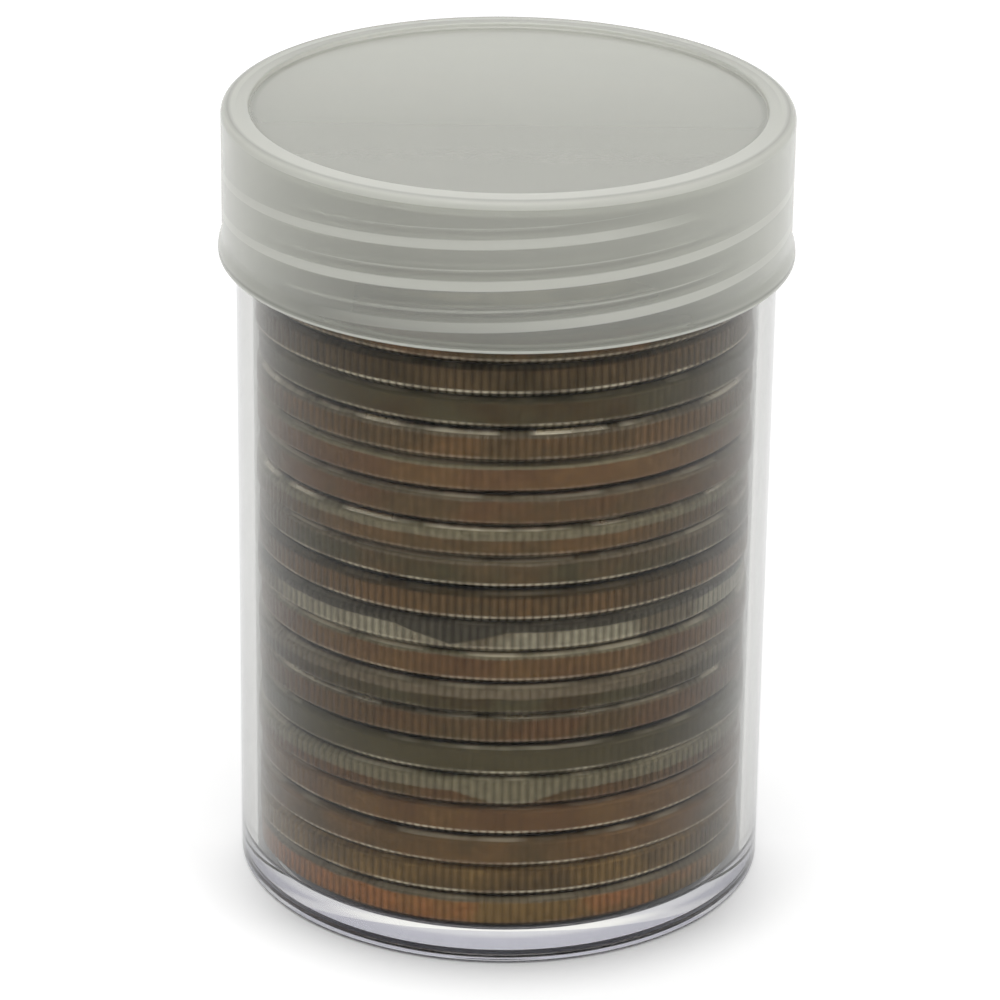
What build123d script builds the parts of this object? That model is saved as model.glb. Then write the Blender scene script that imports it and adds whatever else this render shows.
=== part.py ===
from build123d import *

import os
from math import cos, radians, sin

# Clear round coin tube with a two-start screw cap, holding a full roll of large reeded coins.
# Millimetres, +Z up, origin at the centre of the foot. The front of the tube faces -Y.

# Coins
coin_count = 20
coin_diameter = 38.1
coin_thickness = 2.55
coin_gap = 0.03  # air left under each coin by its worn, uneven faces
coin_bevel = 0.3
coin_rim_width = 1.3
coin_field_depth = 0.2
reed_count = 190
reed_depth = 0.12
reed_land = 0.05  # flat step between the reeds' valleys and the bevel
coin_turn = 137.5  # degrees from one coin's heading to the next
coin_shift_share = 0.4  # how much of the play the coins use by lying off centre

# Tube
coin_play = 0.35  # room round a coin in the bore
tube_wall = 1.27
floor_thickness = 2.4
floor_round = 0.4
foot_width = 2.4
foot_rise = 0.35
foot_round = 0.5
shoulder_round = 0.25
neck_wall = 0.62
mouth_round = 0.15
headroom = 7.0  # from the top coin to the cap's underside

# Thread, the same on the neck and in the cap
thread_pitch = 3.175
thread_starts = 2
ridge_height = 0.4
ridge_root_width = 1.7
ridge_crest_width = 0.85
ridge_sink = 0.2  # how deep a ridge is rooted in its wall
thread_clearance = 0.15  # radial, crest to wall
thread_entry = 0.45  # plain length before a ridge begins and after it ends
thread_angle = -144.0  # where the cap's first ridge begins, in degrees from +X

# Cap
cap_height = 11.55
cap_wall = 1.13
cap_panel = 0.9
cap_rim_width = 2.1
cap_rim_rise = 0.4
cap_rim_round = 0.15
cap_top_round = 0.6
cap_flare = 0.3
cap_flare_height = 1.6
cap_lip_height = 0.6
cap_lip_round = 0.25
cap_seat_gap = 0.15  # tube's mouth to the cap's underside
skirt_gap = 0.15  # skirt's end to the tube's shoulder

# Radii that follow
coin_radius = coin_diameter / 2
bore_radius = coin_radius + coin_play
tube_radius = bore_radius + tube_wall
neck_radius = bore_radius + neck_wall
neck_crest = neck_radius + ridge_height
skirt_bore = neck_crest + thread_clearance
cap_crest = skirt_bore - ridge_height
cap_radius = skirt_bore + cap_wall
lip_radius = cap_radius + cap_flare
panel_radius = cap_radius - cap_rim_width
foot_inner = tube_radius - foot_width

# Heights that follow
coin_pitch = coin_thickness + coin_gap
stack_top = floor_thickness + coin_count * coin_pitch
cap_underside = stack_top + headroom
panel_top = cap_underside + cap_panel
cap_top = panel_top + cap_rim_rise
cap_bottom = cap_top - cap_height
shoulder = cap_bottom - skirt_gap
mouth = cap_underside - cap_seat_gap

# Thread positions that follow: each ridge's middle runs from a low to a high end
thread_lead = thread_pitch * thread_starts
ridge_margin = thread_entry + ridge_root_width / 2
cap_thread_low = cap_bottom + ridge_margin
cap_thread_high = cap_underside - ridge_margin
neck_thread_low = shoulder + ridge_margin
neck_thread_high = mouth - ridge_margin


def polar(radius, angle):
    """Point of the XY plane at a radius and an angle in degrees."""
    return Vector(radius * cos(radians(angle)), radius * sin(radians(angle)))


def turned(points, rounds):
    """Solid of revolution of (radius, height) points, with the named corners rounded."""
    outline = make_face(Polyline(*points, close=True))
    for corner, radius in rounds:
        vertex = outline.vertices().sort_by_distance(Vector(*corner))[0]
        outline = fillet(vertex, radius)
    return revolve(Plane.XZ * outline, Axis.Z)


def reeded_disc(height):
    """Disc with one small outward arc for each reed of its edge."""
    step = 360 / reed_count
    valley = coin_radius - reed_depth
    arcs = []
    for reed in range(reed_count):
        start = polar(valley, reed * step)
        crest = polar(coin_radius, (reed + 0.5) * step)
        end = polar(valley, (reed + 1) * step)
        arcs.append(ThreePointArc(start, crest, end))
    return extrude(Face(Wire(arcs)), height)


def make_coin():
    """Coin lying on Z = 0: reeded edge, bevelled corners, raised rims round sunken fields."""
    bevel_foot = coin_radius - reed_depth - reed_land
    rim_edge = bevel_foot - coin_bevel
    field_radius = rim_edge - coin_rim_width
    band = coin_thickness - 2 * coin_bevel
    base = (Align.CENTER, Align.CENTER, Align.MIN)
    lower = Cone(rim_edge, bevel_foot, coin_bevel, align=base)
    upper = Cone(bevel_foot, rim_edge, coin_bevel, align=base)
    field = Cylinder(field_radius, coin_field_depth, align=base)
    coin = Pos(0, 0, coin_bevel) * reeded_disc(band)
    coin += lower
    coin += Pos(0, 0, coin_bevel + band) * upper
    coin -= field
    coin -= Pos(0, 0, coin_thickness - coin_field_depth) * field
    return coin


def place_coin(coin, index):
    """Coin number index of the roll, counted from 0 at the bottom, which lies in the centre."""
    heading = index * coin_turn
    off_centre = coin_shift_share * coin_play if index else 0
    centre = polar(off_centre, heading)
    height = floor_thickness + coin_gap + index * coin_pitch
    return Pos(centre.X, centre.Y, height) * Rot(0, 0, heading) * coin


def ridge_angle(height):
    """Where the cap's first ridge passes a height, in degrees."""
    return thread_angle + 360 * (height - cap_thread_low) / thread_lead


def thread_ridges(root, crest, low, high, angle):
    """The screw's ridges on a wall of radius root, rising right-handed from low to high."""
    inward = 1 if root > crest else -1
    buried = root + inward * ridge_sink
    half_crest = ridge_crest_width / 2
    flank_slope = (ridge_root_width / 2 - half_crest) / ridge_height
    half_buried = half_crest + flank_slope * (ridge_height + ridge_sink)
    section = Polyline(
        (buried, -half_buried),
        (crest, -half_crest),
        (crest, half_crest),
        (buried, half_buried),
        close=True,
    )
    path = Helix(thread_lead, high - low, root)
    ridge = sweep(Plane.XZ * make_face(section), path, is_frenet=True)
    step = 360 / thread_starts
    return [Pos(0, 0, low) * Rot(0, 0, angle + start * step) * ridge for start in range(thread_starts)]


def make_tube():
    """Clear tube: foot ring, thick floor, straight wall and a thinner threaded neck."""
    points = [
        (0, foot_rise),
        (foot_inner, foot_rise),
        (foot_inner, 0),
        (tube_radius, 0),
        (tube_radius, shoulder),
        (neck_radius, shoulder),
        (neck_radius, mouth),
        (bore_radius, mouth),
        (bore_radius, floor_thickness),
        (0, floor_thickness),
    ]
    rounds = [
        ((tube_radius, 0), foot_round),
        ((tube_radius, shoulder), shoulder_round),
        ((neck_radius, mouth), mouth_round),
        ((bore_radius, mouth), mouth_round),
        ((bore_radius, floor_thickness), floor_round),
    ]
    midway = neck_thread_low - thread_pitch / 2  # the neck's ridges lie midway between the cap's
    ridges = thread_ridges(neck_radius, neck_crest, neck_thread_low, neck_thread_high, ridge_angle(midway))
    return turned(points, rounds) + ridges


def make_cap():
    """Screw cap: sunken panel in a raised rim, threaded skirt with a flared lip."""
    points = [
        (0, cap_underside),
        (skirt_bore, cap_underside),
        (skirt_bore, cap_bottom),
        (lip_radius, cap_bottom),
        (lip_radius, cap_bottom + cap_lip_height),
        (cap_radius, cap_bottom + cap_flare_height),
        (cap_radius, cap_top),
        (panel_radius, cap_top),
        (panel_radius, panel_top),
        (0, panel_top),
    ]
    rounds = [
        ((lip_radius, cap_bottom), cap_lip_round),
        ((cap_radius, cap_top), cap_top_round),
        ((panel_radius, cap_top), cap_rim_round),
    ]
    ridges = thread_ridges(skirt_bore, cap_crest, cap_thread_low, cap_thread_high, thread_angle)
    return turned(points, rounds) + ridges


def main():
    os.makedirs("parts", exist_ok=True)
    export_step(make_tube(), "parts/tube.step")
    export_step(make_cap(), "parts/cap.step")
    coin = make_coin()
    for index in range(coin_count):
        export_step(place_coin(coin, index), f"parts/coin_{index + 1:02d}.step")


main()
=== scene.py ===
from math import atan2, cos, hypot, pi, radians, sin, tau

import bmesh
import bpy
from bpy.props import FloatProperty, FloatVectorProperty, IntProperty, PointerProperty
from mathutils import Euler, Matrix, Quaternion, Vector


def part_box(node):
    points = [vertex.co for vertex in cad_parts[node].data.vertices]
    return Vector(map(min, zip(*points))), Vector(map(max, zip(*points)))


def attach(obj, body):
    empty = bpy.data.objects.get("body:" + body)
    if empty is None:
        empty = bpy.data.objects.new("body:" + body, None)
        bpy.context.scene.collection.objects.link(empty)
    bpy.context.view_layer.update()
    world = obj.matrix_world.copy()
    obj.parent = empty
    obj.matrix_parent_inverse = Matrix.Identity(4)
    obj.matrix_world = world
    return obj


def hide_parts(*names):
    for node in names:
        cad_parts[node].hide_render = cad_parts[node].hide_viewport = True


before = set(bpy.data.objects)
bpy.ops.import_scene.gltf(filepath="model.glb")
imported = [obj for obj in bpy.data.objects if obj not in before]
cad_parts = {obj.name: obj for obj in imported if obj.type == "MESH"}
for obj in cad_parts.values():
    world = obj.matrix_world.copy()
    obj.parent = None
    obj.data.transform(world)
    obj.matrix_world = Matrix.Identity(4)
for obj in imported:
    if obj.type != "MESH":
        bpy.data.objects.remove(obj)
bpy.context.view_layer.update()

bl_info = {
    "name": "Coin Tube",
    "version": (1, 0, 0),
    "blender": (4, 5, 0),
    "location": "3D View > Sidebar > Coin Tube",
    "description": "Dresses the frame of a clear coin tube with its screw cap and its roll of coins",
    "category": "Object",
}

MM = 0.001
TINY = 1e-6
HOLD = 0.04 * MM  # distance of the rows that keep long walls flat beside a rounded corner
ROUND_STEPS = 256  # sides of the tube and the cap
THREAD_ROWS = 90  # cuts in a wall that carries a thread
REED_COLUMNS = 4  # columns of faces in one reed
SHARP_ANGLE = radians(60)  # edges sharper than this are not smoothed

TUBE_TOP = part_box("tube")[1]
CAP_LOW, CAP_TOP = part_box("cap")
COIN_LOW, COIN_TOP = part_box("coin_01")
COINS = sorted(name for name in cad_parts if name.startswith("coin_"))


def linear(hex_colour):
    """Linear red, green and blue of an sRGB hex colour."""
    parts = [int(hex_colour[i : i + 2], 16) / 255 for i in (1, 3, 5)]
    return tuple(c / 12.92 if c <= 0.04045 else ((c + 0.055) / 1.055) ** 2.4 for c in parts)


def length(name, description, default):
    """A size that a user may change, in metres."""
    return FloatProperty(name=name, description=description, default=default, unit="LENGTH", precision=5)


def colour(name, description, hex_colour):
    """A colour that a user may change."""
    default = linear(hex_colour)
    return FloatVectorProperty(
        name=name, description=description, default=default, subtype="COLOR", min=0, max=1
    )


class ThreadSettings(bpy.types.PropertyGroup):
    """Sizes of the screw thread, the same on the neck and in the cap"""

    pitch: length("Pitch", "Height from one ridge to the next", 3.175 * MM)
    starts: IntProperty(name="Starts", description="Ridges that run side by side", default=2, min=1)
    height: length("Ridge height", "How far a ridge stands out of its wall", 0.4 * MM)
    root: length("Root width", "Width of a ridge at its wall", 1.7 * MM)
    crest: length("Crest width", "Width of a ridge at its top", 0.85 * MM)
    entry: length("Entry", "Plain wall before a ridge begins and after it ends", 0.45 * MM)
    runout: length("Run-out", "Rise over which a ridge fades in and out", 0.25 * MM)
    angle: FloatProperty(
        name="Start", description="Where the cap's first ridge begins", default=radians(-144), subtype="ANGLE"
    )


class TubeSettings(bpy.types.PropertyGroup):
    """Sizes and colours of the clear tube"""

    radius: length("Radius", "Outside of the wall", TUBE_TOP.x)
    mouth: length("Mouth", "Height of the open end", TUBE_TOP.z)
    bore: length("Bore", "Inside radius", 19.4 * MM)
    neck: length("Neck", "Radius of the neck under its thread", 20.02 * MM)
    shoulder: length("Shoulder", "Height where the neck begins", CAP_LOW.z - 0.15 * MM)
    floor: length("Floor", "Thickness of the floor", 2.4 * MM)
    foot_width: length("Foot width", "Width of the ring that the tube stands on", 2.4 * MM)
    foot_rise: length("Foot rise", "Depth of the hollow inside the foot ring", 0.35 * MM)
    foot_round: length("Foot round", "Round of the foot ring's outer edge", 0.25 * MM)
    foot_inner_round: length("Inner foot round", "Round of the foot ring's inner edge", 0.2 * MM)
    shoulder_round: length("Shoulder round", "Round of the shoulder's edge", 0.25 * MM)
    floor_round: length("Floor round", "Round where the bore meets the floor", 0.4 * MM)
    small_round: length("Small round", "Round of the mouth and of the small corners", 0.15 * MM)
    tint: colour("Tint", "Colour of the clear plastic", "#F8F8F4")
    # The edge tint is painted shade: it greys the clear plastic where it is seen edge on
    painted_edge_shade: colour("Edge tint", "Colour of the clear plastic seen edge on", "#3C3D40")
    # The base tint is painted shade: the thick floor is darkened and blued for the shaded paper seen through
    # it
    painted_base_shade: colour("Base tint", "Colour of the thick floor", "#C2C2CB")


class CapSettings(bpy.types.PropertyGroup):
    """Sizes and colours of the screw cap"""

    lip: length("Lip", "Outside of the flared lip", CAP_TOP.x)
    flare: length("Flare", "How far the lip stands out of the skirt", 0.3 * MM)
    lip_height: length("Lip height", "Straight part of the lip", 0.6 * MM)
    flare_height: length("Flare height", "Where the flare runs out into the skirt", 1.6 * MM)
    bore: length("Bore", "Inside radius of the skirt under its thread", 20.57 * MM)
    bottom: length("Bottom", "Height of the skirt's end", CAP_LOW.z)
    top: length("Top", "Height of the raised rim", CAP_TOP.z)
    panel: length("Panel", "Thickness of the top panel", 0.9 * MM)
    rim_width: length("Rim width", "Width of the raised rim", 2.1 * MM)
    rim_rise: length("Rim rise", "Height of the rim above the panel", 0.4 * MM)
    top_round: length("Top round", "Round of the cap's upper edge", 0.6 * MM)
    rim_round: length("Rim round", "Rounds of the rim beside the panel", 0.15 * MM)
    flare_round: length("Flare round", "Rounds of the flare's two bends", 0.3 * MM)
    lip_round: length("Lip round", "Round of the lip's outer edge", 0.25 * MM)
    mouth_round: length("Mouth round", "Round of the lip's inner edge", 0.1 * MM)
    inner_round: length("Inner round", "Round between the skirt and the panel inside", 0.2 * MM)
    tint: colour("Tint", "Colour of the translucent plastic", "#DCDDD4")
    # The milk tint also colours the painted light on the rim, panel, lip and skirt
    milk_and_painted_light_tint: colour("Milk tint", "Colour where the plastic is milky", "#DEDFD6")


class CoinSettings(bpy.types.PropertyGroup):
    """Sizes of a coin"""

    radius: length("Radius", "Crests of the reeded edge", COIN_TOP.y)
    thickness: length("Thickness", "Rim to rim", COIN_TOP.z - COIN_LOW.z)
    reeds: IntProperty(name="Reeds", description="Ridges round the edge", default=190, min=3)
    reed_depth: length("Reed depth", "From crest to valley on a crisp coin", 0.12 * MM)
    reed_slope: length("Reed slope", "Height over which a reed runs out at its ends", 0.14 * MM)
    reed_land: length("Reed land", "Step from the reeds' valleys to the worn corner", 0.05 * MM)
    bevel: length("Bevel", "Height of the worn corner", 0.3 * MM)
    corner_round: length("Corner round", "Round where the worn corner meets the rim", 0.12 * MM)
    rim: length("Rim", "Width of the raised rim", 1.3 * MM)
    field: length("Field", "Depth of the face inside the rim", 0.2 * MM)
    beads: IntProperty(name="Beads", description="Beads in the ring inside the rim", default=96, min=3)
    bead: length("Bead", "Radius of a bead", 0.32 * MM)
    bead_inset: length("Bead inset", "From the rim in to the middle of the beads", 0.704 * MM)
    star: length("Star", "Radius of the plain star on the face", 9 * MM)
    relief: length("Relief", "Height of the star and the beads", 0.14 * MM)
    relief_root: length("Relief root", "How deep the star and the beads reach into the coin", 0.03 * MM)


class StageSettings(bpy.types.PropertyGroup):
    """Camera and floor"""

    distance: length("Distance", "From the tube's axis back to the camera", 338.3 * MM)
    height: length("Height", "Camera above the floor", 178.5 * MM)
    aside: length("Aside", "Camera to the right of the axis", -0.26 * MM)
    tilt: FloatProperty(
        name="Tilt", description="Camera looks down", default=radians(23.746), subtype="ANGLE"
    )
    roll: FloatProperty(name="Roll", description="Camera leans", default=radians(0.758), subtype="ANGLE")
    lens: FloatProperty(name="Lens", description="Focal length", default=170.4, unit="CAMERA")
    floor_size: length("Floor", "Side of the floor", 3.0)
    floor_tint: colour("Floor", "Colour of the floor", "#F2F2F2")


class CoinTubeSettings(bpy.types.PropertyGroup):
    """All settings of the coin tube"""

    thread: PointerProperty(type=ThreadSettings)
    tube: PointerProperty(type=TubeSettings)
    cap: PointerProperty(type=CapSettings)
    coin: PointerProperty(type=CoinSettings)
    stage: PointerProperty(type=StageSettings)


def settings():
    """The add-on's settings in this scene."""
    return bpy.context.scene.coin_tube


# Meshes


def lathe(points, rounds, steps, segments=5, fine=()):
    """Skin of revolution about Z of (radius, height) points.

    rounds lists (point number, radius) of corners to round, and fine lists (radius, cuts) of walls to divide.
    """
    bm = bmesh.new()
    verts = [bm.verts.new((radius, 0, height)) for radius, height in points]
    for pair in zip(verts, verts[1:]):
        bm.edges.new(pair)
    for number, radius in rounds:
        bmesh.ops.bevel(
            bm, geom=[verts[number]], offset=radius, offset_type="OFFSET", segments=segments, profile=0.5,
            affect="VERTICES", material=-1,
        )
    for edge in [e for e in bm.edges if e.calc_length() > 20 * HOLD]:
        for vert in edge.verts[:]:
            bmesh.utils.edge_split(edge, vert, HOLD / edge.calc_length())
    for wall, cuts in fine:
        tall = [e for e in bm.edges if all(abs(v.co.x - wall) < TINY for v in e.verts)]
        tallest = max(tall, key=lambda e: e.calc_length())
        bmesh.ops.subdivide_edges(bm, edges=[tallest], cuts=cuts)
    geometry = bm.verts[:] + bm.edges[:]
    bmesh.ops.spin(bm, geom=geometry, cent=(0, 0, 0), axis=(0, 0, 1), angle=tau, steps=steps, use_merge=True)
    bmesh.ops.remove_doubles(bm, verts=bm.verts, dist=TINY / 10)
    bmesh.ops.recalc_face_normals(bm, faces=bm.faces)
    return bm


def raise_thread(bm, wall, low, high, outward, lift):
    """Raises the screw's ridges from a wall between two heights, lift above where the cap's own lie."""
    screw = settings().thread
    lead = screw.pitch * screw.starts
    margin = screw.entry + screw.root / 2
    begin = settings().cap.bottom + margin + lift - lead * screw.angle / tau
    flank = (screw.root - screw.crest) / 2
    for vert in bm.verts:
        radius = hypot(vert.co.x, vert.co.y)
        if abs(radius - wall) > TINY or not low < vert.co.z < high:
            continue
        turn = atan2(vert.co.y, vert.co.x) / tau
        off = (vert.co.z - begin - lead * turn + screw.pitch / 2) % screw.pitch - screw.pitch / 2
        middle = vert.co.z - off
        rise = min(1, max(0, (screw.root / 2 - abs(off)) / flank))
        rise = rise * rise * (3 - 2 * rise)
        begun = max(0, (middle - low - margin) / screw.runout)
        to_come = max(0, (high - margin - middle) / screw.runout)
        scale = 1 + outward * screw.height * rise * min(1, begun, to_come) / radius
        vert.co.x *= scale
        vert.co.y *= scale


def add_piece(name, bm, material, node):
    """Makes a finished piece of a bmesh: smooth, of one material, in its node's place, on its body."""
    mesh = bpy.data.meshes.new(name)
    bm.to_mesh(mesh)
    bm.free()
    mesh.polygons.foreach_set("use_smooth", [True] * len(mesh.polygons))
    mesh.set_sharp_from_angle(angle=SHARP_ANGLE)
    mesh.materials.append(material)
    piece = bpy.data.objects.new(name, mesh)
    bpy.context.scene.collection.objects.link(piece)
    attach(piece, node)
    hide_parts(node)


# Materials


def add(tree, kind, inputs=None, **options):
    """Adds a node with its options. inputs maps a socket to its value or to the output that feeds it.

    Sockets are numbered where names repeat: 1 and 2 are the range that a MapRange reads, 3 and 4 the range
    that it gives, and 0, 6 and 7 are the factor and the two colours of a Mix.
    """
    node = tree.nodes.new("ShaderNode" + kind)
    for name, value in options.items():
        setattr(node, name, value)
    for socket, value in (inputs or {}).items():
        if isinstance(value, bpy.types.NodeSocket):
            tree.links.new(value, node.inputs[socket])
        else:
            node.inputs[socket].default_value = value
    return node


def new_material(name):
    """An empty node material and its tree."""
    material = bpy.data.materials.new(name)
    material.use_nodes = True
    material.node_tree.nodes.clear()
    return material, material.node_tree


def let_lamps_through(tree, surface, shade):
    """Ends a clear material so that lamps shine through it, dimmed to a shade."""
    lamp_ray = add(tree, "LightPath").outputs["Is Shadow Ray"]
    open_air = add(tree, "BsdfTransparent", {"Color": shade}).outputs[0]
    mixed = add(tree, "MixShader", {0: lamp_ray, 1: surface, 2: open_air}).outputs[0]
    add(tree, "OutputMaterial", {"Surface": mixed})


def clear_polystyrene():
    """Clear moulded polystyrene: glossy, faintly rubbed by handling, with painted shade that greys it edge on
    and in the floor.
    """
    material, tree = new_material("clear_polystyrene")
    tube = settings().tube
    place = add(tree, "TexCoord").outputs["Object"]
    height = add(tree, "SeparateXYZ", {0: place}).outputs["Z"]
    rub = add(tree, "TexNoise", {"Vector": place, "Scale": 1 / (9 * MM), "Detail": 5}).outputs["Fac"]
    rough = add(tree, "MapRange", {"Value": rub, 1: 0.45, 2: 0.75, 3: 0.005, 4: 0.02}).outputs[0]
    # Painted shade: the thick floor takes the darker, bluer base tint, for the shaded paper seen through it
    above_floor = add(tree, "Math", {0: height, 1: tube.floor}, operation="SUBTRACT").outputs[0]
    low = add(tree, "MapRange", {"Value": above_floor, 1: 0.1 * MM, 2: -0.3 * MM}).outputs[0]
    colours = {0: low, 6: (*tube.tint, 1), 7: (*tube.painted_base_shade, 1)}
    body = add(tree, "Mix", colours, data_type="RGBA").outputs[2]
    # Painted shade: the plastic turns to the edge tint where it is seen edge on, for a grey rim along the
    # wall
    facing = add(tree, "LayerWeight", {"Blend": 0.5}).outputs["Facing"]
    edge_on = add(tree, "MapRange", {"Value": facing, 1: 0.1, 2: 1.0}).outputs[0]
    tint = add(tree, "Mix", {0: edge_on, 6: body, 7: (*tube.painted_edge_shade, 1)}, data_type="RGBA").outputs[2]
    inputs = {
        "Base Color": tint,
        "Transmission Weight": 1.0,
        "IOR": 1.59,
        "Specular Tint": (0.1, 0.1, 0.1, 1),  # keeps the mirrored white room from veiling the coins
        "Roughness": rough,
    }
    surface = add(tree, "BsdfPrincipled", inputs).outputs[0]

    # The thick floor dims the lamps most, and so makes the dark line of shadow round the foot
    shades = {0: low, 6: (0.92, 0.92, 0.92, 1), 7: (0.35, 0.35, 0.35, 1)}
    shade = add(tree, "Mix", shades, data_type="RGBA").outputs[2]
    let_lamps_through(tree, surface, shade)
    return material


# Milkiness of the cap's wall across one pitch of its thread: place from the ridge's middle in mm, strength.
# The thick ridge shows as a pale band with a crisp lower edge, and its upper flank as a thin line.
THREAD_BANDS = (
    (-0.68, 0.0), (-0.6, 1.0), (0.08, 0.9), (0.2, 0.12), (0.86, 0.05), (0.98, 0.5), (1.1, 0.05),
)


def natural_polypropylene():
    """Uncoloured polypropylene: milky and waxy, dark things show through softly, thick places look paler,
    with painted light and shade on the rim, panel, lip and skirt.
    """
    material, tree = new_material("natural_polypropylene")
    cap, screw = settings().cap, settings().thread
    lead = screw.pitch * screw.starts
    margin = screw.entry + screw.root / 2
    begin = cap.bottom + margin - lead * screw.angle / tau
    underside = cap.top - cap.rim_rise - cap.panel
    place = add(tree, "TexCoord").outputs["Object"]
    axes = add(tree, "SeparateXYZ", {0: place}).outputs

    turn = add(tree, "Math", {0: axes["Y"], 1: axes["X"]}, operation="ARCTAN2").outputs[0]
    climb = add(tree, "Math", {0: turn, 1: -lead / tau, 2: axes["Z"]}, operation="MULTIPLY_ADD").outputs[0]
    level = add(tree, "Math", {0: climb, 1: begin}, operation="SUBTRACT").outputs[0]
    off = add(tree, "Math", {0: level, 1: screw.pitch / 2, 2: -screw.pitch / 2}, operation="WRAP").outputs[0]
    across = add(tree, "MapRange", {"Value": off, 1: -screw.pitch / 2, 2: screw.pitch / 2}).outputs[0]
    bands = add(tree, "ValToRGB", {0: across})
    stops = bands.color_ramp.elements
    stops[0].color = stops[1].color = (0, 0, 0, 1)
    for shift, strength in THREAD_BANDS:
        stops.new(0.5 + shift * MM / screw.pitch).color = (strength, strength, strength, 1)
    middle = add(tree, "Math", {0: axes["Z"], 1: off}, operation="SUBTRACT").outputs[0]
    first, last = cap.bottom + margin, underside - margin
    starts = add(tree, "MapRange", {"Value": middle, 1: first, 2: first + margin}).outputs[0]
    ends = add(tree, "MapRange", {"Value": middle, 1: last + margin / 2, 2: last}).outputs[0]
    flat = add(tree, "CombineXYZ", {0: axes["X"], 1: axes["Y"]}).outputs[0]
    radius = add(tree, "VectorMath", {0: flat}, operation="LENGTH").outputs["Value"]
    crest = cap.bore - screw.height
    skirt_range = {1: crest - 0.3 * MM, 2: crest - 0.1 * MM}
    skirt = add(tree, "MapRange", {"Value": radius, **skirt_range, 4: ends}).outputs[0]
    along = add(tree, "Math", {0: starts, 1: skirt}, operation="MULTIPLY").outputs[0]
    ridge = add(tree, "Math", {0: bands.outputs[0], 1: along}, operation="MULTIPLY").outputs[0]

    # Paler and less clear by painted light: the rim, milky for its thickness and most of all towards the
    # front, the panel towards the back, the lip's edge as a painted highlight, and the skirt in its upper
    # part and at a slant
    outside = cap.lip - cap.flare
    inside = outside - cap.rim_width
    above_lip = add(tree, "Math", {0: axes["Z"], 1: cap.bottom}, operation="SUBTRACT").outputs[0]
    rim_foot = cap.top - cap.top_round
    rim_range = {1: rim_foot - 0.02 * MM, 2: rim_foot + 0.03 * MM}
    high = add(tree, "MapRange", {"Value": axes["Z"], **rim_range}).outputs[0]
    ring = add(tree, "MapRange", {"Value": radius, 1: inside - 0.1 * MM, 2: inside, 4: high}).outputs[0]
    front = add(tree, "MapRange", {"Value": axes["Y"], 1: 12 * MM, 2: -16 * MM, 3: 0.45}).outputs[0]
    rim = add(tree, "Math", {0: ring, 1: front}, operation="MULTIPLY").outputs[0]
    lip = add(tree, "MapRange", {"Value": above_lip, 1: 0.34 * MM, 2: 0.26 * MM}).outputs[0]
    back = add(tree, "MapRange", {"Value": axes["Y"], 1: -4 * MM, 2: 14 * MM, 3: 0.18, 4: 0.52}).outputs[0]
    panel = add(tree, "MapRange", {"Value": radius, 1: inside, 2: inside - 0.2 * MM, 4: back}).outputs[0]
    facing = add(tree, "LayerWeight", {"Blend": 0.5}).outputs["Facing"]
    upper = add(tree, "MapRange", {"Value": above_lip, 1: 4 * MM, 2: 8 * MM, 4: 0.3}).outputs[0]
    oblique = add(tree, "MapRange", {"Value": facing, 1: 0.15, 2: 0.65, 3: upper, 4: 0.75}).outputs[0]
    slant = add(tree, "MapRange", {"Value": radius, 1: crest, 2: cap.bore, 4: oblique}).outputs[0]
    milk_and_painted_light = ridge
    for spot in (rim, lip, panel, slant):
        milk_and_painted_light = add(tree, "Math", {0: milk_and_painted_light, 1: spot}, operation="MAXIMUM").outputs[0]

    # Painted shade: greyer low on the skirt, and soft dark lines round the rim's top, round the panel and
    # above the lip
    light = add(tree, "MapRange", {"Value": above_lip, 1: MM, 2: 4 * MM, 3: 0.92}).outputs[0]
    lines = (
        (radius, outside - 0.52 * MM, 0.3 * MM, 0.68),
        (radius, inside - 0.3 * MM, 0.35 * MM, 0.85),
        (above_lip, 0.5 * MM, 0.2 * MM, 0.6),
    )
    for where, centre, half_width, dark in lines:
        away = add(tree, "Math", {0: where, 1: centre}, operation="SUBTRACT").outputs[0]
        away = add(tree, "Math", {0: away}, operation="ABSOLUTE").outputs[0]
        line = add(tree, "MapRange", {"Value": away, 2: half_width, 3: dark}).outputs[0]
        light = add(tree, "Math", {0: line, 1: light}, operation="MULTIPLY").outputs[0]

    # The milkiness, with the painted light in it, and a cloudy grain pick the tint and how clear the plastic
    # is
    cloud = add(tree, "TexNoise", {"Vector": place, "Scale": 1 / (7 * MM), "Detail": 3}).outputs["Fac"]
    thick = add(tree, "Math", {0: cloud, 1: 0.2, 2: milk_and_painted_light}, operation="MULTIPLY_ADD").outputs[0]
    colours = {0: thick, 6: (*cap.tint, 1), 7: (*cap.milk_and_painted_light_tint, 1)}
    plastic = add(tree, "Mix", colours, data_type="RGBA").outputs[2]
    tint = add(tree, "VectorMath", {0: plastic, "Scale": light}, operation="SCALE").outputs[0]
    clear = add(tree, "MapRange", {"Value": milk_and_painted_light, 3: 0.75, 4: 0.2}).outputs[0]
    grain = add(tree, "TexNoise", {"Vector": place, "Scale": 1 / (0.35 * MM), "Detail": 2}).outputs["Fac"]
    bump = add(tree, "Bump", {"Height": grain, "Strength": 0.05, "Distance": 0.02 * MM}).outputs[0]
    inputs = {
        "Base Color": tint,
        "Roughness": 0.24,
        "IOR": 1.49,
        "Transmission Weight": clear,
        "Normal": bump,
    }
    surface = add(tree, "BsdfPrincipled", inputs).outputs[0]
    let_lamps_through(tree, surface, (0.55, 0.55, 0.52, 1))
    return material


# Tones that old clad copper takes
TONES = {
    # Copper and bronze are brighter tones for the lowest coins: painted light that makes up for the light
    # they lose near the floor
    "copper": "#996945",
    "bronze": "#7C6442",
    "orange": "#6E553B",
    "brown": "#5E4D38",
    "red": "#664D38",
    "olive": "#514A38",
    "dark": "#4A3E2C",
    "grey_green": "#79715D",
    "pewter": "#6E6352",
    "silver": "#958E7C",
    "slate": "#4E4940",
    # Pale worn metal, laid on as a painted highlight too
    "wear_and_painted_highlight": "#C9C0AE",
}
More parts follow.
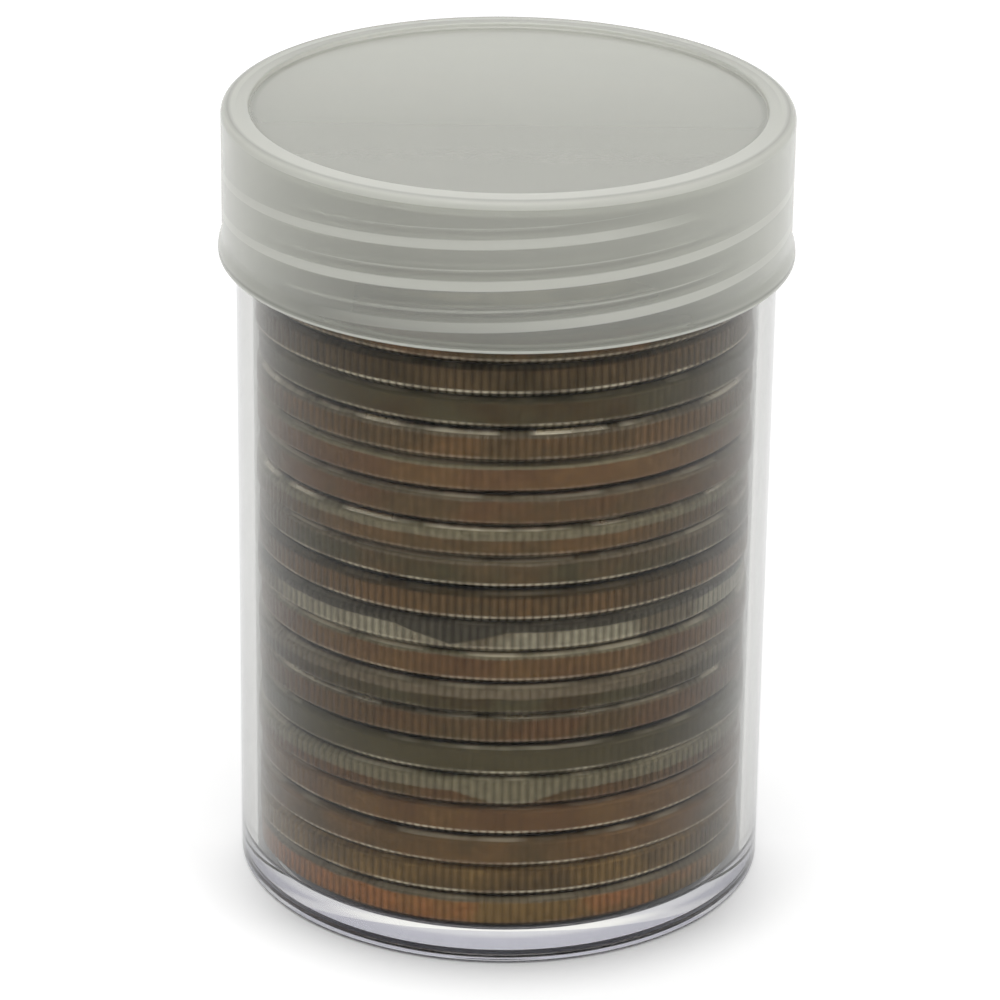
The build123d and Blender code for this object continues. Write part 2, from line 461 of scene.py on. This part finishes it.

# The roll from the bottom up. For each coin: tone of the core, tone of its patches, tone of the upper layer,
# height where that layer begins, wear of the reeds, pale worn metal with a painted highlight on the upper
# corner, and the same at the reeds' lower ends
ROLL = [
    # The two lowest coins take copper and bronze, painted light for the light they lose near the floor
    ("copper", "bronze", "pewter", 0.84, 0.45, 0.15, 0.15),
    ("bronze", "brown", "bronze", 0.90, 0.20, 0.10, 0.80),
    ("orange", "brown", "brown", 0.90, 0.90, 0.30, 0.70),
    ("orange", "red", "red", 0.90, 0.90, 0.15, 0.70),
    ("red", "brown", "grey_green", 0.50, 0.25, 0.30, 0.20),
    ("olive", "olive", "olive", 0.90, 0.95, 0.30, 0.60),
    ("brown", "red", "pewter", 0.84, 0.30, 0.90, 0.20),
    ("olive", "dark", "pewter", 0.58, 0.50, 0.20, 0.15),
    ("orange", "red", "grey_green", 0.84, 0.35, 0.60, 0.40),
    ("silver", "pewter", "slate", 0.68, 0.00, 0.10, 0.40),
    ("orange", "brown", "dark", 0.80, 0.10, 0.10, 0.60),
    ("brown", "olive", "pewter", 0.80, 0.50, 0.50, 0.60),
    ("brown", "orange", "grey_green", 0.62, 0.55, 0.95, 0.20),
    ("red", "brown", "pewter", 0.82, 0.90, 0.40, 0.15),
    ("red", "orange", "grey_green", 0.80, 0.90, 0.25, 0.15),
    ("brown", "orange", "pewter", 0.80, 0.20, 1.00, 0.25),
    ("dark", "olive", "olive", 0.82, 0.95, 0.15, 0.45),
    ("dark", "brown", "dark", 0.90, 0.10, 0.10, 0.80),
    ("red", "dark", "brown", 0.80, 0.50, 0.30, 0.40),
    ("brown", "orange", "pewter", 0.80, 0.40, 0.60, 0.50),
]
HEADING_STEP = 2.4  # turn from one coin to the next, in radians
WEAR_STEP = 1.7  # the same for the places where the reeds are worn
STAR_WAIST = 0.42  # inner corners of the star, as a share of its radius
FACE_LEVEL = 0.87  # the faces inside the rims take the tones found at this height of the edge
NOTCH_WIDTH = radians(13)
NOTCHES = {5: 3.0, 10: -11.0}  # coins whose upper layer dips in a V, and where, in degrees right of the front


def clad_copper(name, tones, split, upper, lower):
    """Worn coin edge: toned copper under a grey layer, darker in the reeds' valleys, pale worn corners with
    painted highlights.
    """
    material, tree = new_material(name)
    core, patch, layer, bright = [(*linear(TONES[tone]), 1) for tone in (*tones, "wear_and_painted_highlight")]
    place = add(tree, "TexCoord").outputs["Object"]
    edge = add(tree, "Attribute", attribute_name="edge_place").outputs["Vector"]
    crest = add(tree, "Attribute", attribute_name="reed_crest").outputs["Fac"]
    height, reed, notch = add(tree, "SeparateXYZ", {0: edge}).outputs
    smear = add(tree, "TexNoise", {"Vector": place, "Scale": 1 / (6 * MM), "Detail": 4}).outputs["Fac"]
    fine = add(tree, "TexNoise", {"Vector": place, "Scale": 1 / (0.6 * MM), "Detail": 3}).outputs["Fac"]
    broad = add(tree, "TexNoise", {"Vector": place, "Scale": 1 / (3.5 * MM), "Detail": 2}).outputs["Fac"]

    patches = add(tree, "MapRange", {"Value": smear, 1: 0.42, 2: 0.58}).outputs[0]
    copper = add(tree, "Mix", {0: patches, 6: core, 7: patch}, data_type="RGBA").outputs[2]
    wander = add(tree, "Math", {0: broad, 1: 0.12, 2: height}, operation="MULTIPLY_ADD").outputs[0]
    line = add(tree, "Math", {0: notch, 1: 0.45, 2: wander}, operation="MULTIPLY_ADD").outputs[0]
    above = add(tree, "MapRange", {"Value": line, 1: split + 0.03, 2: split + 0.09}).outputs[0]
    base = add(tree, "Mix", {0: above, 6: copper, 7: layer}, data_type="RGBA").outputs[2]
    speckle = add(tree, "MapRange", {"Value": fine, 1: 0.3, 2: 0.7, 3: 0.82, 4: 1.15}).outputs[0]
    # Darker in the reeds' valleys
    valley_darkening = add(tree, "MapRange", {"Value": reed, 3: 0.45, 4: 1.05}).outputs[0]
    shade = add(tree, "Math", {0: speckle, 1: valley_darkening}, operation="MULTIPLY").outputs[0]
    toned = add(tree, "VectorMath", {0: base, "Scale": shade}, operation="SCALE").outputs[0]

    # Painted highlights, broken along the edge, on the pale worn metal of the upper corner and of the reeds'
    # lower ends
    broken = add(tree, "MapRange", {"Value": broad, 1: 0.4, 2: 0.58}).outputs[0]
    top_line = add(tree, "MapRange", {"Value": height, 1: 0.885, 2: 0.91, 4: upper}).outputs[0]
    worn_top_and_painted_highlight = add(tree, "Math", {0: top_line, 1: broken}, operation="MULTIPLY").outputs[0]
    low_line = add(tree, "MapRange", {"Value": height, 1: 0.26, 2: 0.21, 4: lower}).outputs[0]
    crests = add(tree, "MapRange", {"Value": crest, 1: -0.2, 2: 0.9, 4: low_line}).outputs[0]
    uneven = add(tree, "MapRange", {"Value": broad, 1: 0.35, 2: 0.55, 3: 0.35}).outputs[0]
    beads = add(tree, "Math", {0: crests, 1: uneven}, operation="MULTIPLY").outputs[0]
    wear_and_painted_highlight = add(tree, "Math", {0: worn_top_and_painted_highlight, 1: beads}, operation="MAXIMUM").outputs[0]
    final = add(tree, "Mix", {0: wear_and_painted_highlight, 6: toned, 7: bright}, data_type="RGBA").outputs[2]
    rough = add(tree, "MapRange", {"Value": wear_and_painted_highlight, 3: 0.42, 4: 0.24}).outputs[0]
    bump = add(tree, "Bump", {"Height": fine, "Strength": 0.07, "Distance": 0.02 * MM}).outputs[0]
    inputs = {"Base Color": final, "Metallic": 1.0, "Roughness": rough, "Normal": bump}
    surface = add(tree, "BsdfPrincipled", inputs).outputs[0]
    add(tree, "OutputMaterial", {"Surface": surface})
    return material


# Pieces


class COIN_TUBE_OT_tube(bpy.types.Operator):
    """Models the clear tube with its foot ring, thick floor and threaded neck"""

    bl_idname = "coin_tube.tube"
    bl_label = "Tube"

    def execute(self, context):
        tube = settings().tube
        inner = tube.radius - tube.foot_width
        points = [
            (0, tube.foot_rise),
            (inner, tube.foot_rise),
            (inner, 0),
            (tube.radius, 0),
            (tube.radius, tube.shoulder),
            (tube.neck, tube.shoulder),
            (tube.neck, tube.mouth),
            (tube.bore, tube.mouth),
            (tube.bore, tube.floor),
            (0, tube.floor),
        ]
        rounds = [
            (1, tube.small_round),
            (2, tube.foot_inner_round),
            (3, tube.foot_round),
            (4, tube.shoulder_round),
            (5, tube.small_round),
            (6, tube.small_round),
            (7, tube.small_round),
            (8, tube.floor_round),
        ]
        bm = lathe(points, rounds, ROUND_STEPS, fine=[(tube.neck, THREAD_ROWS)])
        lift = settings().thread.pitch / 2
        raise_thread(bm, tube.neck, tube.shoulder, tube.mouth, 1, lift)
        add_piece("clear_tube", bm, clear_polystyrene(), "tube")
        return {"FINISHED"}


class COIN_TUBE_OT_cap(bpy.types.Operator):
    """Models the screw cap with its sunken panel, raised rim, threaded skirt and flared lip"""

    bl_idname = "coin_tube.cap"
    bl_label = "Cap"

    def execute(self, context):
        cap = settings().cap
        panel_top = cap.top - cap.rim_rise
        underside = panel_top - cap.panel
        radius = cap.lip - cap.flare
        panel_radius = radius - cap.rim_width
        points = [
            (0, underside),
            (cap.bore, underside),
            (cap.bore, cap.bottom),
            (cap.lip, cap.bottom),
            (cap.lip, cap.bottom + cap.lip_height),
            (radius, cap.bottom + cap.flare_height),
            (radius, cap.top),
            (panel_radius, cap.top),
            (panel_radius, panel_top),
            (0, panel_top),
        ]
        rounds = [
            (1, cap.inner_round),
            (2, cap.mouth_round),
            (3, cap.lip_round),
            (4, cap.flare_round),
            (5, cap.flare_round),
            (6, cap.top_round),
            (7, cap.rim_round),
            (8, cap.rim_round),
        ]
        bm = lathe(points, rounds, ROUND_STEPS, fine=[(cap.bore, THREAD_ROWS)])
        raise_thread(bm, cap.bore, cap.bottom, underside, -1, 0)
        add_piece("screw_cap", bm, natural_polypropylene(), "cap")
        return {"FINISHED"}


def coin_blank():
    """Coin lying on Z = 0, struck on both faces, with a plain edge that has the columns for its reeds."""
    coin = settings().coin
    foot = coin.radius - coin.reed_depth - coin.reed_land
    rim_edge = foot - coin.bevel
    inner = rim_edge - coin.rim
    points = [
        (inner, coin.field),
        (inner, 0),
        (rim_edge, 0),
        (foot, coin.bevel),
        (coin.radius, coin.bevel + coin.reed_slope),
        (coin.radius, coin.thickness - coin.bevel - coin.reed_slope),
        (foot, coin.thickness - coin.bevel),
        (rim_edge, coin.thickness),
        (inner, coin.thickness),
        (inner, coin.thickness - coin.field),
    ]
    rounds = [(2, coin.corner_round), (7, coin.corner_round)]
    bm = lathe(points, rounds, coin.reeds * REED_COLUMNS, segments=3)
    bmesh.ops.holes_fill(bm, edges=[e for e in bm.edges if e.is_boundary], sides=0)
    for field, side in ((coin.thickness - coin.field, 1), (coin.field, -1)):
        strike_face(bm, field, side, inner - coin.bead_inset)
    bmesh.ops.recalc_face_normals(bm, faces=bm.faces)
    return bm


def strike_face(bm, field, side, ring):
    """Raises a ring of beads and a plain star from a field. side is 1 on the upper face, -1 on the lower."""
    coin = settings().coin
    depth = coin.relief + coin.relief_root
    middle = field + side * (coin.relief - coin.relief_root) / 2
    upright = Matrix.Translation((0, 0, middle)) @ Matrix.Diagonal((1, 1, side, 1))
    for bead in range(coin.beads):
        turn = Matrix.Rotation(bead * tau / coin.beads, 4, "Z")
        bmesh.ops.create_cone(
            bm, cap_ends=True, segments=8, radius1=coin.bead, radius2=coin.bead / 2, depth=depth,
            matrix=turn @ Matrix.Translation((ring, 0, 0)) @ upright,
        )
    points = bmesh.ops.create_cone(
        bm, cap_ends=True, segments=10, radius1=coin.star, radius2=0, depth=depth, matrix=upright
    )["verts"]
    waist = [v for v in points if hypot(v.co.x, v.co.y) > TINY][::2]
    bmesh.ops.scale(bm, verts=waist, vec=(STAR_WAIST, STAR_WAIST, 1))


def cut_reeds(bm, wear, turn, notch):
    """Cuts the valleys of the reeds, shallow where the coin is worn.

    Notes for the material the height on the edge, how far out of a valley a place is, how deep the notch dips
    there and where the crests are, which a worn coin still shows at the reeds' lower ends and which get a
    painted highlight there.
    """
    coin = settings().coin
    edge_place = bm.verts.layers.float_vector.new("edge_place")
    reed_crest = bm.verts.layers.float.new("reed_crest")
    for vert in bm.verts:
        angle = atan2(vert.co.y, vert.co.x)
        radius = hypot(vert.co.x, vert.co.y)
        crest = (0.5 - 0.5 * cos(angle * coin.reeds)) ** 0.6
        patch = 0.5 + 0.3 * sin(3 * angle + turn) + 0.2 * sin(7 * angle + 2 * turn)
        left = 1 - wear * (0.6 + 0.4 * patch)
        valley = left * (1 - crest)
        dip = 0
        if notch is not None:
            away = (angle + pi / 2 - radians(notch) + pi) % tau - pi
            dip = max(0, 1 - abs(away) / NOTCH_WIDTH)
        height = vert.co.z / coin.thickness
        on_face = radius < coin.radius - coin.rim and TINY < vert.co.z < coin.thickness - TINY
        vert[edge_place] = (FACE_LEVEL if on_face else height, 1 - valley, dip)
        vert[reed_crest] = crest
        if radius > coin.radius - TINY:
            scale = 1 - coin.reed_depth * valley / radius
            vert.co.x *= scale
            vert.co.y *= scale


class COIN_TUBE_OT_coins(bpy.types.Operator):
    """Models the roll of reeded coins"""

    bl_idname = "coin_tube.coins"
    bl_label = "Coins"

    def execute(self, context):
        blank = coin_blank()
        for number, name in enumerate(COINS):
            *tones, split, wear, upper, lower = ROLL[number]
            low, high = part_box(name)
            centre = (low + high) / 2
            bm = blank.copy()
            heading = Matrix.Rotation(number * HEADING_STEP, 3, "Z")
            bmesh.ops.rotate(bm, verts=bm.verts, cent=(0, 0, 0), matrix=heading)
            cut_reeds(bm, wear, number * WEAR_STEP, NOTCHES.get(number + 1))
            bmesh.ops.translate(bm, verts=bm.verts, vec=(centre.x, centre.y, low.z))
            material = clad_copper(f"clad_copper_{number + 1:02d}", tones, split, upper, lower)
            add_piece(f"reeded_{name}", bm, material, name)
        blank.free()
        return {"FINISHED"}


# Stage

# Soft boxes: name, place in metres, side in metres, power in watts
LAMPS = (
    ("soft_box_above", (-0.1, 0.15, 0.6), 0.5, 0.8),
    ("soft_box_front", (0.0, -0.25, 0.6), 0.4, 0.6),
    ("soft_box_right", (0.5, -0.2, 0.35), 0.4, 0.35),
)
SOFT_LIGHT = 0.55  # strength of the white room as light
FLOOR_GLOW = 0.42  # what lifts the lit paper to white
SHADOW_REACH = 6 * MM  # how far the dark of the contact shadow reaches round the foot


def seen_rays(tree):
    """1 for rays from the camera, off a gloss or through clear plastic, which see the white of the studio."""
    path = add(tree, "LightPath").outputs
    seen = path["Is Camera Ray"]
    for kind in ("Is Glossy Ray", "Is Transmission Ray"):
        seen = add(tree, "Math", {0: seen, 1: path[kind]}, operation="MAXIMUM").outputs[0]
    return seen


def white_world():
    """White surroundings: full white where they are seen, mirrored or seen through, and softer as light."""
    world = bpy.data.worlds.new("white_studio")
    bpy.context.scene.world = world
    world.use_nodes = True
    tree = world.node_tree
    tree.nodes.clear()
    soft = add(tree, "Background", {"Color": (1, 1, 1, 1), "Strength": SOFT_LIGHT}).outputs[0]
    white = add(tree, "Background", {"Color": (1, 1, 1, 1), "Strength": 1.0}).outputs[0]
    mixed = add(tree, "MixShader", {0: seen_rays(tree), 1: soft, 2: white}).outputs[0]
    add(tree, "OutputWorld", {"Surface": mixed})


def paper_floor():
    """White paper sweep: matt, lifted to white where it is seen, and shaded in front of the foot."""
    material, tree = new_material("white_paper")
    paper = add(tree, "BsdfDiffuse", {"Color": (*settings().stage.floor_tint, 1)}).outputs[0]
    place = add(tree, "TexCoord").outputs["Object"]
    axes = add(tree, "SeparateXYZ", {0: place}).outputs
    # Painted shadow: the glow that lifts the paper to white is cut round the foot and in front of it
    lit = add(tree, "MapRange", {"Value": axes["Y"], 1: -14 * MM, 2: 0.0, 4: FLOOR_GLOW}).outputs[0]
    open_sky = add(tree, "AmbientOcclusion", {"Distance": SHADOW_REACH}, samples=8).outputs["AO"]
    strength = add(tree, "MapRange", {"Value": open_sky, 1: 0.45, 2: 1.0, 3: lit, 4: FLOOR_GLOW}).outputs[0]
    glow = add(tree, "Emission", {"Color": (1, 1, 1, 1), "Strength": strength}).outputs[0]
    lifted = add(tree, "AddShader", {0: paper, 1: glow}).outputs[0]
    mixed = add(tree, "MixShader", {0: seen_rays(tree), 1: paper, 2: lifted}).outputs[0]
    add(tree, "OutputMaterial", {"Surface": mixed})
    return material


def add_lamp(name, place, size, power):
    """A square soft box that faces the middle of the tube."""
    lamp = bpy.data.lights.new(name, "AREA")
    lamp.size = size
    lamp.energy = power
    holder = bpy.data.objects.new(name, lamp)
    holder.location = place
    target = Vector((0, 0, TUBE_TOP.z / 2))
    holder.rotation_euler = (target - Vector(place)).to_track_quat("-Z", "Y").to_euler()
    bpy.context.scene.collection.objects.link(holder)


class COIN_TUBE_OT_stage(bpy.types.Operator):
    """Sets the white floor, the soft boxes and the camera"""

    bl_idname = "coin_tube.stage"
    bl_label = "Stage"

    def execute(self, context):
        stage = settings().stage
        bm = bmesh.new()
        bmesh.ops.create_grid(bm, x_segments=1, y_segments=1, size=stage.floor_size / 2)
        mesh = bpy.data.meshes.new("floor")
        bm.to_mesh(mesh)
        bm.free()
        mesh.materials.append(paper_floor())
        floor = bpy.data.objects.new("floor", mesh)
        floor.location.z = -0.05 * MM
        context.scene.collection.objects.link(floor)
        white_world()
        for lamp in LAMPS:
            add_lamp(*lamp)

        # Light runs a long way inside the clear floor and walls before it comes out
        cycles = context.scene.cycles
        cycles.max_bounces = 24
        cycles.glossy_bounces = 16
        cycles.transmission_bounces = 24

        camera = bpy.data.cameras.new("camera")
        camera.lens = stage.lens
        camera.clip_start = 0.01
        holder = bpy.data.objects.new("camera", camera)
        holder.location = (stage.aside, -stage.distance, stage.height)
        level = Euler((pi / 2 - stage.tilt, 0, 0)).to_quaternion()
        holder.rotation_euler = (level @ Quaternion((0, 0, 1), stage.roll)).to_euler()
        context.scene.collection.objects.link(holder)
        context.scene.camera = holder
        context.scene.view_settings.view_transform = "Standard"
        return {"FINISHED"}


class COIN_TUBE_PT_panel(bpy.types.Panel):
    """Lists the steps that dress the coin tube"""

    bl_idname = "COIN_TUBE_PT_panel"
    bl_label = "Coin Tube"
    bl_space_type = "VIEW_3D"
    bl_region_type = "UI"
    bl_category = "Coin Tube"

    def draw(self, context):
        for operator in OPERATORS:
            self.layout.operator(operator.bl_idname)


OPERATORS = (COIN_TUBE_OT_tube, COIN_TUBE_OT_cap, COIN_TUBE_OT_coins, COIN_TUBE_OT_stage)
GROUPS = (ThreadSettings, TubeSettings, CapSettings, CoinSettings, StageSettings, CoinTubeSettings)
CLASSES = GROUPS + OPERATORS + (COIN_TUBE_PT_panel,)


def register():
    for item in CLASSES:
        bpy.utils.register_class(item)
    bpy.types.Scene.coin_tube = PointerProperty(type=CoinTubeSettings)


def unregister():
    del bpy.types.Scene.coin_tube
    for item in reversed(CLASSES):
        bpy.utils.unregister_class(item)


def main():
    register()
    bpy.ops.coin_tube.tube()
    bpy.ops.coin_tube.cap()
    bpy.ops.coin_tube.coins()
    bpy.ops.coin_tube.stage()


if __name__ == "__main__":
    main()
